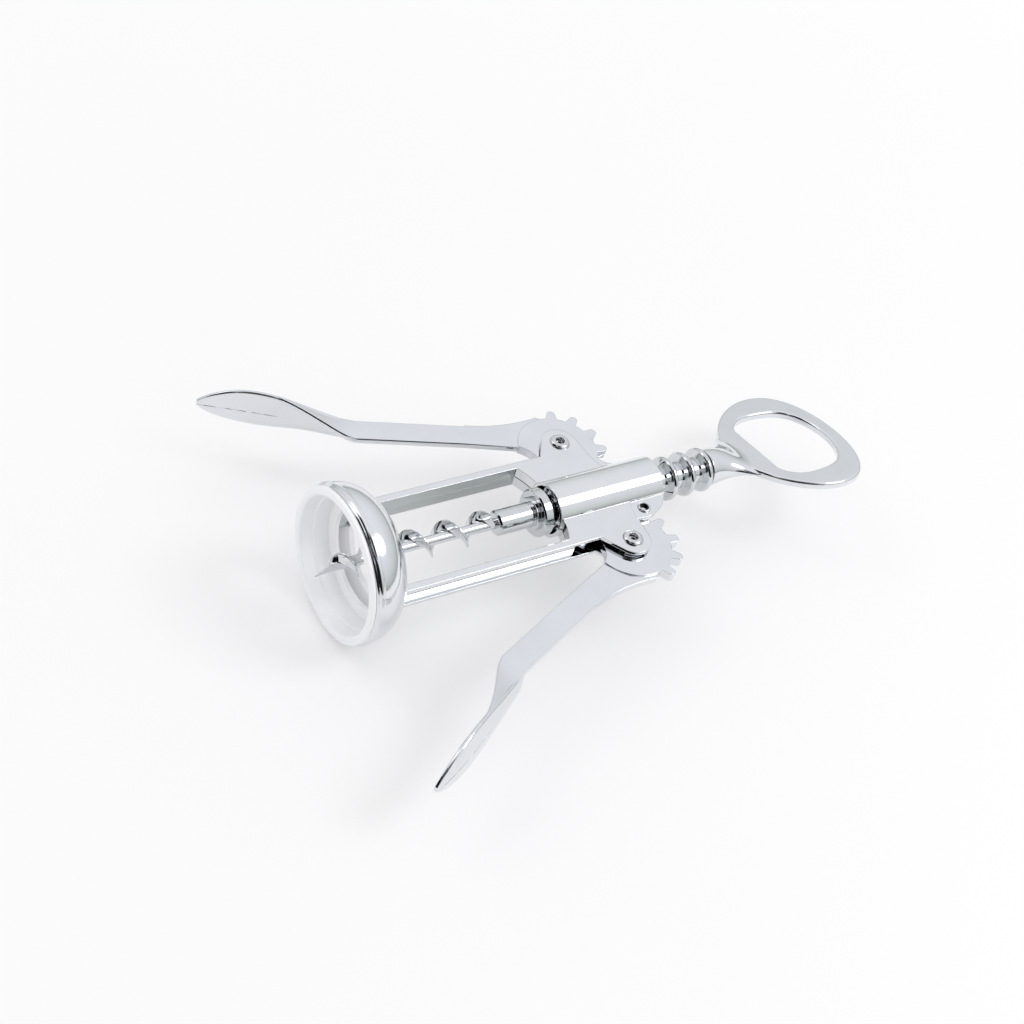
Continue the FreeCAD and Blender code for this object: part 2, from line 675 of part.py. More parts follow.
def build_bell_ring():
    """Rolled chrome ring with a rounded shoulder; the legs pass through slots in it."""
    body = new_body("bell_ring")
    crown = size("bell_crown")
    radius = size("bell_radius")
    bend = size("bell_round")
    centre = bell_centre
    eye = size("bell_eye_radius")
    bore = bell_bore
    front = size("bell_front")
    shoulder_angle = math.degrees(math.asin((eye - centre[1]) / bend))
    back = on_circle(centre, bend, shoulder_angle)
    middle = on_circle(centre, bend, (shoulder_angle + 90) / 2)
    inner_bend = bell_inner_bend
    bore_angle = math.degrees(math.asin((bore - centre[1]) / inner_bend))
    eye_angle = math.degrees(math.asin((eye - centre[1]) / inner_bend))
    inner_start = on_circle(centre, inner_bend, bore_angle)
    inner_end = on_circle(centre, inner_bend, eye_angle)
    inner_middle = on_circle(centre, inner_bend, (bore_angle + eye_angle) / 2)
    profile = new_sketch(body, "bell_ring_profile", "XZ_Plane")
    edge = 0.7
    rim_inset = 0.35
    rim_bend = (front + 0.2, radius - rim_inset - 0.25 * edge)
    draw(profile, (front, bore), [
        (front, radius - rim_inset - edge),
        (rim_bend, (front + edge, radius - 0.25)),
        (on_circle(centre, bend, 97), (crown, radius)),
        (middle, back),
        inner_end,
        (inner_middle, inner_start),
        (front, bore),
    ])
    revolve(body, profile, "H_Axis")

    slots = new_sketch(body, "bell_ring_slots", "YZ_Plane", size("insert_length"))
    play = 0.04
    slot_half = half_depth + play
    for side in (1, -1):
        near = side * (leg_inner - 0.6)
        far = side * (leg_outer + play)
        draw(slots, (near, -slot_half), [
            (far, -slot_half),
            (far, slot_half),
            (near, slot_half),
            (near, -slot_half),
        ])
    pocket(body, slots, bend, reverse=True)
    return body


def build_bell_insert():
    """White plastic lining: a flange on the rim, and steps that centre the bottle's neck."""
    body = new_body("bell_insert")
    flange = size("insert_flange_radius")
    outer = bell_bore - seat_gap
    mouth = size("insert_mouth_radius")
    step = size("insert_step_radius")
    throat = size("insert_throat_radius")
    length = size("insert_length")
    front = size("bell_front")
    rim = 0.5
    flange_back = front - 0.02
    end_lip = 1.0
    step_height = 4.6
    step_run = 0.4
    shoulder_bend = bell_inner_bend - seat_gap
    rise = math.asin((outer - bell_centre[1]) / shoulder_bend)
    shoulder_start = bell_centre[0] + shoulder_bend * math.cos(rise)
    half_way = (shoulder_start + length) / 2
    shoulder_middle = (half_way, bell_inside(half_way) - seat_gap)
    profile = new_sketch(body, "bell_insert_profile", "XZ_Plane")
    draw(profile, (rim, mouth), [
        ((0.15, mouth + 0.35), (0, mouth + rim + 0.3)),
        (0, flange - rim),
        ((0.15, flange - 0.15), (rim, flange)),
        (flange_back, flange),
        (flange_back, outer),
        (shoulder_start, outer),
        (shoulder_middle, (length, bell_inside(length) - seat_gap)),
        (length, throat),
        (length - end_lip, throat),
        (length - end_lip, step),
        (length - step_height, step),
        (length - step_height - step_run, mouth - step_run),
        (rim, mouth),
    ])
    revolve(body, profile, "H_Axis")
    return body


# ---- spindle ------------------------------------------------------------------------------

def ring_places():
    """Ring centres: one ring lies opposite the pivots, two below it and the rest above."""
    first = -2
    count = int(size("ring_count"))
    return [pivot_x + (first + index) * size("ring_pitch") for index in range(count)]


def rack_end():
    return ring_places()[-1] + size("ring_root_width") / 2 + 0.3


def build_rack():
    """Turned steel rack: plain rings at one pitch, with a journal at its lower end."""
    body = new_body("rack")
    core = size("groove_radius")
    crown = size("ring_radius")
    tip_half = size("ring_tip_width") / 2
    root_half = size("ring_root_width") / 2
    collar_end = size("collar_start") + size("collar_length")
    profile = new_sketch(body, "rack_profile", "XZ_Plane")
    steps = [
        (size("collar_start"), core - fit_gap),
        (collar_end + fit_gap, core - fit_gap),
        (collar_end + fit_gap, core + 0.6),
        (collar_end + fit_gap + 0.6, core),
    ]
    for centre in ring_places():
        steps.append((centre - root_half, core))
        steps.append((centre - tip_half, crown - 0.35))
        steps.append(((centre, crown), (centre + tip_half, crown - 0.35)))
        steps.append((centre + root_half, core))
    steps.append((rack_end(), core))
    steps.append((rack_end(), 0))
    steps.append((size("collar_start"), 0))
    draw(profile, (size("collar_start"), 0), steps)
    revolve(body, profile, "H_Axis")
    return body


def build_guide_collar():
    """Ring that guides the rack's lower end in the barrel; the rack turns inside it."""
    body = new_body("guide_collar")
    outer = bore_radius - 1.6 * fit_gap
    bore = size("groove_radius")
    start = size("collar_start")
    end = start + size("collar_length")
    bevel = 0.4
    profile = new_sketch(body, "guide_collar_profile", "XZ_Plane")
    draw(profile, (start, bore), [
        (start, outer - bevel),
        (start + bevel, outer),
        (end - bevel, outer),
        (end, outer - bevel),
        (end, bore),
        (start, bore),
    ])
    revolve(body, profile, "H_Axis")
    return body


def build_worm_sleeve():
    """Sleeve on the worm's shank, with a flange that keeps the guide collar on."""
    body = new_body("worm_sleeve")
    end = size("collar_start") - fit_gap
    start = end - size("sleeve_length")
    flange = end - size("sleeve_flange_length")
    radius = size("sleeve_radius")
    press_gap = 0.02
    bore = size("worm_core_radius") + press_gap
    bevel = 0.5
    flange_edge = size("sleeve_flange_radius")
    socket = end - 1.0
    profile = new_sketch(body, "worm_sleeve_profile", "XZ_Plane")
    draw(profile, (start, bore), [
        (start, radius - bevel),
        (start + bevel, radius),
        (flange, radius),
        (flange, flange_edge - 0.2),
        (flange + 0.2, flange_edge),
        (end, flange_edge),
        (end, 0),
        (socket, 0),
        (socket, bore),
        (start, bore),
    ])
    revolve(body, profile, "H_Axis")
    return body


def build_worm():
    """Solid worm, one loft of turned sections: a core with one sharp fin wound on it that
    runs out at both ends, and a point set off the axis."""
    sleeve_end = size("collar_start") - fit_gap
    core_top = sleeve_end - 1.05
    fin_top = sleeve_end - size("sleeve_length") - 0.1
    core_radius = size("worm_core_radius")
    fin_radius = size("worm_fin_radius")
    pitch = size("worm_pitch")
    tip = -size("worm_tip_reach")
    crest_height = 20.9
    crest_angle = 37.3
    taper_start = 3.0
    point_radius = 0.15
    base_angle = 180 * size("fin_base_width") / pitch
    edge_angle = 180 * size("fin_edge_width") / pitch

    def fin_angle(height):
        return crest_angle + 360 * (height - crest_height) / pitch

    def section(height):
        sharpen = max(taper_start - height, 0.0) / (taper_start - tip)
        radius = core_radius + (point_radius - core_radius) * sharpen
        offset = size("worm_tip_offset") * sharpen ** 1.6
        centre = on_circle((0, 0), offset, fin_angle(tip))
        growth = smoothstep(tip + 2.5, tip + 9.0, height)
        run_out = 1 - smoothstep(fin_top - 2.5, fin_top, height)
        fin = (fin_radius - core_radius) * growth * run_out
        step = (base_angle - edge_angle) / 3
        turns = [0, edge_angle, edge_angle + step, edge_angle + 2 * step, base_angle]
        heights = [1.0, 0.97, 0.60, 0.25, 0.0]
        turns += [base_angle + 22, 90, 120, 150]
        heights += [0.0] * 4
        points = []
        for turn, part in zip(turns, heights):
            points.append((turn, radius + fin * part))
        points.append((180, radius))
        for turn, part in list(zip(turns, heights))[:0:-1]:
            points.append((360 - turn, radius + fin * part))
        ring = []
        for turn, reach in points:
            spot = on_circle(centre, reach, fin_angle(height) + turn)
            ring.append(Vector(spot[0], spot[1], height))
        return Part.makePolygon(ring + ring[:1])

    steps_per_turn = 12
    count = int((fin_top - tip) / pitch * steps_per_turn)
    heights = [tip + (fin_top - tip) * index / count for index in range(count + 1)]
    thread = Part.makeLoft([section(height) for height in heights], True, True)
    shank = Part.makeCylinder(core_radius, core_top - fin_top, Vector(0, 0, fin_top))
    worm = doc.addObject("Part::Feature", "worm")
    worm.Shape = thread.fuse(shank)
    worm.Label = "worm"
    worm.Placement = Placement(Vector(0, 0, 0), Rotation(Vector(1, 1, 1), 120))
    return worm


def build_opener():
    """Forged cap lifter: a round neck that flattens into a loop with a straight lip."""
    body = new_body("opener")
    start = rack_end()
    root = start + size("neck_length")
    thick = size("loop_thickness")
    half = size("loop_width") / 2

    # Both outlines: part of the length from the root or the lip, part of half the width.
    loop = new_sketch(body, "opener_loop", "XY_Plane")
    long = size("loop_length")
    loop_shape = [
        (-0.03, 0.26), (0.034, 0.44), (0.106, 0.60), (0.206, 0.76), (0.315, 0.88), (0.467, 0.98),
        (0.616, 1.0), (0.748, 0.945), (0.857, 0.80), (0.946, 0.54), (0.989, 0.25), (1.0, 0),
    ]
    outline = [(root + along * long, across * half) for along, across in loop_shape]
    draw_symmetric(loop, outline, size("loop_sway"))
    lip = root + size("lip_distance")
    wide = size("hole_width") / 2
    hole_long = size("hole_length")
    hole_shape = [
        (0.03, 0.76), (0.094, 0.87), (0.197, 0.96), (0.333, 1.0), (0.534, 0.985),
        (0.778, 0.86), (0.906, 0.62), (0.974, 0.33), (1.0, 0),
    ]
    hole = [(lip + along * hole_long, across * wide) for along, across in hole_shape]
    draw_symmetric(loop, [(lip, size("lip_width") / 2)] + hole, size("loop_sway"))
    plate = pad(body, loop, thick, "loop_thickness", midplane=True)

    # The loop's long edges and the lip are rounded over, as on a forging.
    doc.recompute()
    rims = []
    for number, edge in enumerate(plate.Shape.Edges, start=1):
        ends = [vertex.Point for vertex in edge.Vertexes]
        on_face = all(abs(abs(point.z) - thick / 2) < 1e-4 for point in ends)
        level = abs(ends[0].z - ends[-1].z) < 1e-4
        at_neck = edge.BoundBox.XMax < root
        if on_face and level and not at_neck:
            rims.append(f"Edge{number}")
    rounding = body.newObject("PartDesign::Fillet", "opener_loop_rounding")
    rounding.Base = (plate, rims)
    rounding.Radius = 0.32 * thick

    neck = body.newObject("PartDesign::AdditiveLoft", "opener_neck")
    sections = []
    round_radius = size("neck_radius")
    stations = (
        (0.0, round_radius, round_radius),
        (0.3, round_radius, 0.92 * round_radius),
        (0.6, 1.15 * round_radius, 0.70 * round_radius),
        (0.9, 1.6 * round_radius, 0.40 * round_radius),
        (1.25, 2.0 * round_radius, 0.95 * thick / 2),
    )
    for part, across, high in stations:
        height = start + part * size("neck_length")
        section = new_sketch(body, f"opener_neck_{int(part * 100)}", "YZ_Plane", height)
        middle = size("loop_sway") * min(part, 1.0)
        wide_end = Vector(middle + across + 0.001, 0, 0)
        oval = Part.Ellipse(wide_end, Vector(middle, high, 0), Vector(middle, 0, 0))
        section.addGeometry(oval, False)
        sections.append(section)
    neck.Profile = sections[0]
    neck.Sections = sections[1:]
    body.Placement = Placement(Vector(0, 0, 0), Rotation(Vector(1, 0, 0), -size("loop_roll")))
    return body


# ---- build, check and write ---------------------------------------------------------------

parts = [
    build_frame_half("front_frame", False),
    build_frame_half("back_frame", True),
    build_pivot_rivets(),
    build_frame_eyelets(),
    build_lever("near_lever", -1),
    build_lever("far_lever", 1),
    build_bell_ring(),
    build_bell_insert(),
    build_rack(),
    build_guide_collar(),
    build_worm_sleeve(),
    build_worm(),
    build_opener(),
]
doc.recompute()

for item in doc.Objects:
    if "Invalid" in item.State or "Error" in item.State:
        raise RuntimeError(f"{item.Name} failed: {item.State}")
for item in parts:
    if item.Shape.isNull() or not item.Shape.isValid():
        raise RuntimeError(f"{item.Label} has no valid shape")

os.makedirs("parts", exist_ok=True)
for item in parts:
    item.Shape.exportStep(f"parts/{item.Label}.step")
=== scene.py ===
"""Looks for a chromed wing corkscrew on a pale table: pressed frame halves, two geared levers,
a rolled bell with a white lining, a ringed rack with a solid worm, and a cap lifter."""

import math

import bpy
from mathutils import Matrix, Vector


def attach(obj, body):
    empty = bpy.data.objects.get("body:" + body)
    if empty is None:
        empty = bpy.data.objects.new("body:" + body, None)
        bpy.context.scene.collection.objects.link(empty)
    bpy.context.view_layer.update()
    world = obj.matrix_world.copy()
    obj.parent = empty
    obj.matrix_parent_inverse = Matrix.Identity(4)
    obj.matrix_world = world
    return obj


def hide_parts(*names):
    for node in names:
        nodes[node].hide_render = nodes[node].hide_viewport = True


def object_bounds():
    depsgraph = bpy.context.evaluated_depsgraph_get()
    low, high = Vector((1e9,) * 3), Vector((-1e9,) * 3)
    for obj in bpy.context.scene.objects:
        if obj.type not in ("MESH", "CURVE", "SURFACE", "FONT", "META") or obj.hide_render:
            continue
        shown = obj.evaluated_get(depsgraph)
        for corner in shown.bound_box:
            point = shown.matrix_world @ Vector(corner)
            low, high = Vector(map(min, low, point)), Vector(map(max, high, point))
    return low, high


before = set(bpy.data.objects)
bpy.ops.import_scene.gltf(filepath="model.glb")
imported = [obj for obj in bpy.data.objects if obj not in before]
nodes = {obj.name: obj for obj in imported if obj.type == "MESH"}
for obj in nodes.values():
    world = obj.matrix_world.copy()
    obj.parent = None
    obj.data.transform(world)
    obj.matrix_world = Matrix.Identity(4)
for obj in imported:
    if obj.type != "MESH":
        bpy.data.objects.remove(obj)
cad_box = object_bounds()


# ---- frame halves -------------------------------------------------------------------------
# Two like pressings of thin steel meet back to back and form the legs, the plates and the
# barrel. They are polished and bright chrome plated, so the flat faces mirror the room while
# the pressed bends catch thin dark and light lines.

def colour(hex_code):
    """sRGB hex to the linear values that a shader takes."""
    channels = [int(hex_code[i:i + 2], 16) / 255 for i in (1, 3, 5)]
    linear = [c / 12.92 if c <= 0.04045 else ((c + 0.055) / 1.055) ** 2.4 for c in channels]
    return (*linear, 1.0)


def add_node(tree, kind, settings=None, links=None):
    """A node with its properties, constant inputs and linked inputs."""
    node = tree.nodes.new(kind)
    for name, value in (settings or {}).items():
        if isinstance(name, int) or name in node.inputs:
            node.inputs[name].default_value = value
        else:
            setattr(node, name, value)
    for name, source in (links or {}).items():
        tree.links.new(source, node.inputs[name])
    return node


def plated_metal(name, light, dark, roughness, spread, wave_mm, wave_height_mm, edge_mm):
    """Plating whose tone and polish wander over a few millimetres, with softened edges."""
    material = bpy.data.materials.new(name)
    material.use_nodes = True
    tree = material.node_tree
    tree.nodes.clear()
    place = add_node(tree, "ShaderNodeTexCoord")
    cloud = add_node(tree, "ShaderNodeTexNoise", {"Scale": 1000 / wave_mm, "Detail": 3.0},
                     {"Vector": place.outputs["Object"]})
    tone = add_node(tree, "ShaderNodeMixRGB",
                    {"Color1": colour(dark), "Color2": colour(light)},
                    {"Fac": cloud.outputs["Fac"]})
    polish = add_node(tree, "ShaderNodeMapRange",
                      {"To Min": roughness - spread, "To Max": roughness + spread},
                      {"Value": cloud.outputs["Fac"]})
    edges = add_node(tree, "ShaderNodeBevel", {"samples": 6, "Radius": edge_mm / 1000})
    ripple = add_node(tree, "ShaderNodeBump",
                      {"Strength": 1.0, "Distance": wave_height_mm / 1000},
                      {"Height": cloud.outputs["Fac"], "Normal": edges.outputs["Normal"]})
    shader = add_node(tree, "ShaderNodeBsdfPrincipled", {"Metallic": 1.0},
                      {"Base Color": tone.outputs["Color"],
                       "Roughness": polish.outputs["Result"],
                       "Normal": ripple.outputs["Normal"]})
    add_node(tree, "ShaderNodeOutputMaterial", links={"Surface": shader.outputs["BSDF"]})
    return material


def shader_of(material):
    return next(node for node in material.node_tree.nodes if node.type == "BSDF_PRINCIPLED")


def lay_over(material, shade, share):
    """Lays one more tone over a material's own, as far as the share says."""
    tree = material.node_tree
    shader = shader_of(material)
    under = shader.inputs["Base Color"].links[0].from_socket
    over = add_node(tree, "ShaderNodeMixRGB", {"Color2": colour(shade)},
                    {"Fac": share, "Color1": under})
    tree.links.new(over.outputs["Color"], shader.inputs["Base Color"])


def dress(material, *names):
    """Gives CAD nodes a material in place of the plain one."""
    for name in names:
        nodes[name].data.materials.clear()
        nodes[name].data.materials.append(material)


# Chrome on a pressing: nearly neutral, a little blue, with a slow waviness of the sheet.
pressed_chrome = plated_metal("bright chrome on pressed steel", "#EEEFF1", "#E4E6E8",
                              0.035, 0.01, wave_mm=6.0, wave_height_mm=0.006, edge_mm=0.3)

# The halves meet in a dark seam, a line in the material only.
seam_core, seam_edge = 0.00010, 0.00018
tree = pressed_chrome.node_tree
place = add_node(tree, "ShaderNodeTexCoord")
level = add_node(tree, "ShaderNodeSeparateXYZ", links={"Vector": place.outputs["Object"]})
off_seam_and_dark_line = add_node(tree, "ShaderNodeMath", {"operation": "ABSOLUTE"},
                    {0: level.outputs["Z"]})
in_seam = add_node(tree, "ShaderNodeMapRange", {"From Min": seam_edge, "From Max": seam_core},
                   {"Value": off_seam_and_dark_line.outputs["Value"]})
lay_over(pressed_chrome, "#3A3C3F", in_seam.outputs["Result"])

# The webs are taken to splay a few degrees, as pressings often do to leave the die, so the
# upper web mirrors more light than the lower one.
web_steepness = 0.1
splay_slope = 0.10
facing = add_node(tree, "ShaderNodeNewGeometry")
upright = add_node(tree, "ShaderNodeSeparateXYZ",
                   links={"Vector": facing.outputs["True Normal"]})
slope = add_node(tree, "ShaderNodeMath", {"operation": "ABSOLUTE"},
                 {0: upright.outputs["Z"]})
on_web = add_node(tree, "ShaderNodeMath", {"operation": "LESS_THAN", 1: web_steepness},
                  {0: slope.outputs["Value"]})
side = add_node(tree, "ShaderNodeMath", {"operation": "SIGN"}, {0: level.outputs["Z"]})
splay = add_node(tree, "ShaderNodeMath", {"operation": "MULTIPLY", 1: splay_slope},
                 {0: side.outputs["Value"]})
splay = add_node(tree, "ShaderNodeMath", {"operation": "MULTIPLY"},
                 {0: splay.outputs["Value"], 1: on_web.outputs["Value"]})
tilt = add_node(tree, "ShaderNodeCombineXYZ", links={"Z": splay.outputs["Value"]})
normal = shader_of(pressed_chrome).inputs["Normal"]
bent = normal.links[0].from_socket
splayed = add_node(tree, "ShaderNodeVectorMath", {"operation": "ADD"},
                   {0: bent, 1: tilt.outputs["Vector"]})
whole = add_node(tree, "ShaderNodeVectorMath", {"operation": "NORMALIZE"},
                 {0: splayed.outputs["Vector"]})
tree.links.new(whole.outputs["Vector"], normal)

# The webs' sides facing the axis are painted greyer than the rest: painted shade, standing in
# for the shaded floor that they mirror. The webs' inner sides are a shade greyer than the
# rest, a guess: wheels hardly reach them. They are the upright faces past this distance from
# the axis that look back towards it.
inner_web_from = 0.0105
outward = add_node(tree, "ShaderNodeMath", {"operation": "MULTIPLY"},
                   {0: level.outputs["Y"], 1: upright.outputs["Y"]})
painted_web_shade = add_node(tree, "ShaderNodeMath", {"operation": "LESS_THAN", 1: -inner_web_from},
                 {0: outward.outputs["Value"]})
painted_web_shade = add_node(tree, "ShaderNodeMath", {"operation": "MULTIPLY"},
                 {0: painted_web_shade.outputs["Value"], 1: on_web.outputs["Value"]})
lay_over(pressed_chrome, "#C3C8C7", painted_web_shade.outputs["Value"])
dress(pressed_chrome, "front_frame", "back_frame")


# ---- pivot rivets and eyelets -------------------------------------------------------------
# Steel tube rivets, closed over a punch so that each head has a cup in its middle, and short
# eyelets rolled into the ears; the cups and the eyelets' bores are painted dark, as painted
# shade.
# Barrel plated with the rest, but duller than the frame.

rivet_steel = plated_metal("nickel on rolled steel", "#E2E3E5", "#D0D2D5",
                           0.12, 0.04, wave_mm=2.0, wave_height_mm=0.006, edge_mm=0.15)


def paint_shade_in_bores(material, bores):
    """Paints shade into each bore: its centre in the plan, on either side, its radius and the
    shade's tone.
    """
    tree = material.node_tree
    place = add_node(tree, "ShaderNodeTexCoord")
    folded = add_node(tree, "ShaderNodeVectorMath", {"operation": "ABSOLUTE"},
                      {0: place.outputs["Object"]})
    plan = add_node(tree, "ShaderNodeVectorMath", {"operation": "MULTIPLY", 1: (1, 1, 0)},
                    {0: folded.outputs["Vector"]})
    for x, y, radius, shade in bores:
        away = add_node(tree, "ShaderNodeVectorMath", {"operation": "DISTANCE", 1: (x, y, 0)},
                        {0: plan.outputs["Vector"]})
        inside = add_node(tree, "ShaderNodeMapRange",
                          {"From Min": radius, "From Max": 0.85 * radius},
                          {"Value": away.outputs["Value"]})
        lay_over(material, shade, inside.outputs["Result"])


# Painted shade in the rivets' cups and in the eyelets' bores.
rivet_cup_shade = (0.0742, 0.01758, 0.00090, "#242528")
eyelet_bore_shade = (0.0833, 0.0092, 0.00130, "#1A1B1D")
paint_shade_in_bores(rivet_steel, [rivet_cup_shade, eyelet_bore_shade])
dress(rivet_steel, "pivot_rivets", "frame_eyelets")


# ---- levers -------------------------------------------------------------------------------
# One zinc die casting each, with the teeth cast on, fettled, polished and chrome plated. The
# casting stays a little wavier than sheet, and its edges are rounder.

cast_chrome = plated_metal("bright chrome on zinc casting", "#EDEEF1", "#E2E4E8",
                           0.04, 0.015, wave_mm=8.0, wave_height_mm=0.012, edge_mm=0.3)

# A fine broken dark line runs along each paddle, a little below the levers' middle: a painted
# dark reflection. It is drawn in the material, wide enough that it shows.
dark_line_drop = 0.0030
dark_line_core, dark_line_edge = 0.00008, 0.00016
paddle_starts, paddle_whole = 0.0505, 0.0530
gaps_below, whole_above = 0.35, 0.60
tree = cast_chrome.node_tree
place = add_node(tree, "ShaderNodeTexCoord")
folded = add_node(tree, "ShaderNodeVectorMath", {"operation": "ABSOLUTE"},
                  {0: place.outputs["Object"]})
beyond = add_node(tree, "ShaderNodeSeparateXYZ", links={"Vector": folded.outputs["Vector"]})
level = add_node(tree, "ShaderNodeSeparateXYZ", links={"Vector": place.outputs["Object"]})
broken = add_node(tree, "ShaderNodeTexNoise", {"Scale": 600.0, "Detail": 2.0},
                  {"Vector": place.outputs["Object"]})
off_seam_and_dark_line = add_node(tree, "ShaderNodeMath", {"operation": "ADD", 1: dark_line_drop},
                    {0: level.outputs["Z"]})
gap = add_node(tree, "ShaderNodeMath", {"operation": "ABSOLUTE"},
               {0: off_seam_and_dark_line.outputs["Value"]})
painted_dark_line = add_node(tree, "ShaderNodeMapRange",
                {"From Min": dark_line_edge, "From Max": dark_line_core},
                {"Value": gap.outputs["Value"]})
out_there = add_node(tree, "ShaderNodeMapRange",
                     {"From Min": paddle_starts, "From Max": paddle_whole},
                     {"Value": beyond.outputs["Y"]})
patchy = add_node(tree, "ShaderNodeMapRange",
                  {"From Min": gaps_below, "From Max": whole_above},
                  {"Value": broken.outputs["Fac"]})
dark_line_share = add_node(tree, "ShaderNodeMath", {"operation": "MULTIPLY"},
                    {0: painted_dark_line.outputs["Result"], 1: out_there.outputs["Result"]})
dark_line_share = add_node(tree, "ShaderNodeMath", {"operation": "MULTIPLY"},
                    {0: dark_line_share.outputs["Value"], 1: patchy.outputs["Result"]})
# The painted dark reflection line, laid over the chrome's own tone.
lay_over(cast_chrome, "#4A4C50", dark_line_share.outputs["Value"])
dress(cast_chrome, "near_lever", "far_lever")


# ---- bell ---------------------------------------------------------------------------------
# A ring spun from sheet steel, chrome plated, over a moulded lining of white ABS whose flange
# covers the ring's edge and whose steps centre the neck of the bottle.

spun_chrome = plated_metal("bright chrome on spun steel", "#EEEFF2", "#E6E7EB",
                           0.10, 0.01, wave_mm=9.0, wave_height_mm=0.005, edge_mm=0.2)

# Behind the lining, the ring's throat is coloured as the lining is. This is a guess, made in
# the material only: the solid has bare metal there, and no skirt of the moulding.
throat_matting = 0.30
tree = spun_chrome.node_tree
shader = shader_of(spun_chrome)
place = add_node(tree, "ShaderNodeTexCoord")
facing = add_node(tree, "ShaderNodeNewGeometry")
across = add_node(tree, "ShaderNodeVectorMath", {"operation": "MULTIPLY", 1: (0, 1, 1)},
                  {0: place.outputs["Object"]})
outward = add_node(tree, "ShaderNodeVectorMath", {"operation": "DOT_PRODUCT"},
                   {0: across.outputs["Vector"], 1: facing.outputs["True Normal"]})
inside = add_node(tree, "ShaderNodeMath", {"operation": "LESS_THAN", 1: 0.0},
                  {0: outward.outputs["Value"]})
polished = shader.inputs["Roughness"].links[0].from_socket
matt = add_node(tree, "ShaderNodeMath", {"operation": "MULTIPLY_ADD", 1: throat_matting},
                {0: inside.outputs["Value"], 2: polished})
tree.links.new(matt.outputs["Value"], shader.inputs["Roughness"])
lay_over(spun_chrome, "#FAFAFC", inside.outputs["Value"])
metal = add_node(tree, "ShaderNodeMath", {"operation": "SUBTRACT", 0: 1.0},
                 {1: inside.outputs["Value"]})
tree.links.new(metal.outputs["Value"], shader.inputs["Metallic"])
dress(spun_chrome, "bell_ring")

material = bpy.data.materials.new("moulded white ABS")
material.use_nodes = True
tree = material.node_tree
tree.nodes.clear()
place = add_node(tree, "ShaderNodeTexCoord")
cloud = add_node(tree, "ShaderNodeTexNoise", {"Scale": 120.0},
                 {"Vector": place.outputs["Object"]})
tone = add_node(tree, "ShaderNodeMixRGB",
                {"Color1": colour("#FBFBFD"), "Color2": colour("#F5F6F9")},
                {"Fac": cloud.outputs["Fac"]})
edges = add_node(tree, "ShaderNodeBevel", {"samples": 4, "Radius": 0.0002})
shader = add_node(tree, "ShaderNodeBsdfPrincipled", {"Roughness": 0.32, "IOR": 1.53},
                  {"Base Color": tone.outputs["Color"], "Normal": edges.outputs["Normal"]})
add_node(tree, "ShaderNodeOutputMaterial", links={"Surface": shader.outputs["BSDF"]})
dress(material, "bell_insert")


# ---- rack, collar and sleeve --------------------------------------------------------------
# Turned from bar: rings at one pitch with a guide collar and a flanged sleeve at the lower
# end. Nickel plated over the turning marks, which leaves a softer shine than the chrome.

turned_steel = plated_metal("nickel on turned steel", "#E4E6E8", "#D2D5D7",
                            0.07, 0.02, wave_mm=3.0, wave_height_mm=0.004, edge_mm=0.2)
dress(turned_steel, "rack", "guide_collar", "worm_sleeve")


# ---- worm ---------------------------------------------------------------------------------
# A solid worm, cast and ground, with one sharp fin wound on a core. Plated thinly, so the
# grinding still shows as a soft shine.

ground_steel = plated_metal("nickel on ground steel", "#ECEDEF", "#DCDEE1",
                            0.07, 0.02, wave_mm=1.5, wave_height_mm=0.005, edge_mm=0.1)


# Geometry Nodes wind the fin: every point of a plain tube is moved out to the core's radius,
# and further where it stands under the crest, which turns once round the core in one pitch.
winding = bpy.data.node_groups.new("worm winding", "GeometryNodeTree")
worm_sizes = {"Tip": -0.0051, "Point Ends": 0.0030, "Top": 0.0547, "Core Radius": 0.0013,
              "Tip Radius": 0.00015, "Tip Offset": 0.0015, "Fin Depth": 0.0027,
              "Fin Starts": -0.0026, "Fin Whole": 0.0039, "Fin Thins": 0.04205,
              "Fin Ends": 0.04455, "Pitch": 0.010, "Crest At": 0.019864,
              "Crest Half Angle": math.radians(6.0), "Fin Half Angle": math.radians(39.6)}
sockets = {name: winding.interface.new_socket(name, in_out="INPUT",
                                              socket_type="NodeSocketFloat").identifier
           for name in worm_sizes}
winding.interface.new_socket("Geometry", in_out="OUTPUT", socket_type="NodeSocketGeometry")
given = add_node(winding, "NodeGroupInput").outputs

tube = add_node(winding, "GeometryNodeMeshCylinder",
                {"fill_type": "NGON", "Vertices": 48, "Side Segments": 250,
                 "Radius": 1.0, "Depth": 1.0})
spot = add_node(winding, "GeometryNodeInputPosition")
along = add_node(winding, "ShaderNodeSeparateXYZ", links={"Vector": spot.outputs["Position"]})
height = add_node(winding, "ShaderNodeMapRange", {"From Min": -0.5, "From Max": 0.5},
                  {"Value": along.outputs["Z"],
                   "To Min": given["Tip"], "To Max": given["Top"]})
height = height.outputs["Result"]

# The tube's sides crowd together near the crest, where the fin is sharp.
even = add_node(winding, "ShaderNodeMath", {"operation": "ARCTAN2"},
                {0: along.outputs["Y"], 1: along.outputs["X"]})
size = add_node(winding, "ShaderNodeMath", {"operation": "ABSOLUTE"},
                {0: even.outputs["Value"]})
turn = add_node(winding, "ShaderNodeMath", {"operation": "MULTIPLY"},
                {0: even.outputs["Value"], 1: size.outputs["Value"]})
turn = add_node(winding, "ShaderNodeMath", {"operation": "DIVIDE", 1: math.pi},
                {0: turn.outputs["Value"]})
off_crest = add_node(winding, "ShaderNodeMath", {"operation": "ABSOLUTE"},
                     {0: turn.outputs["Value"]})
share = add_node(winding, "ShaderNodeMapRange", {"To Min": 1.0, "To Max": 0.0},
                 {"Value": off_crest.outputs["Value"], "From Min": given["Crest Half Angle"],
                  "From Max": given["Fin Half Angle"]})
flank = add_node(winding, "ShaderNodeMath", {"operation": "POWER", 1: 1.3},
                 {0: share.outputs["Result"]})

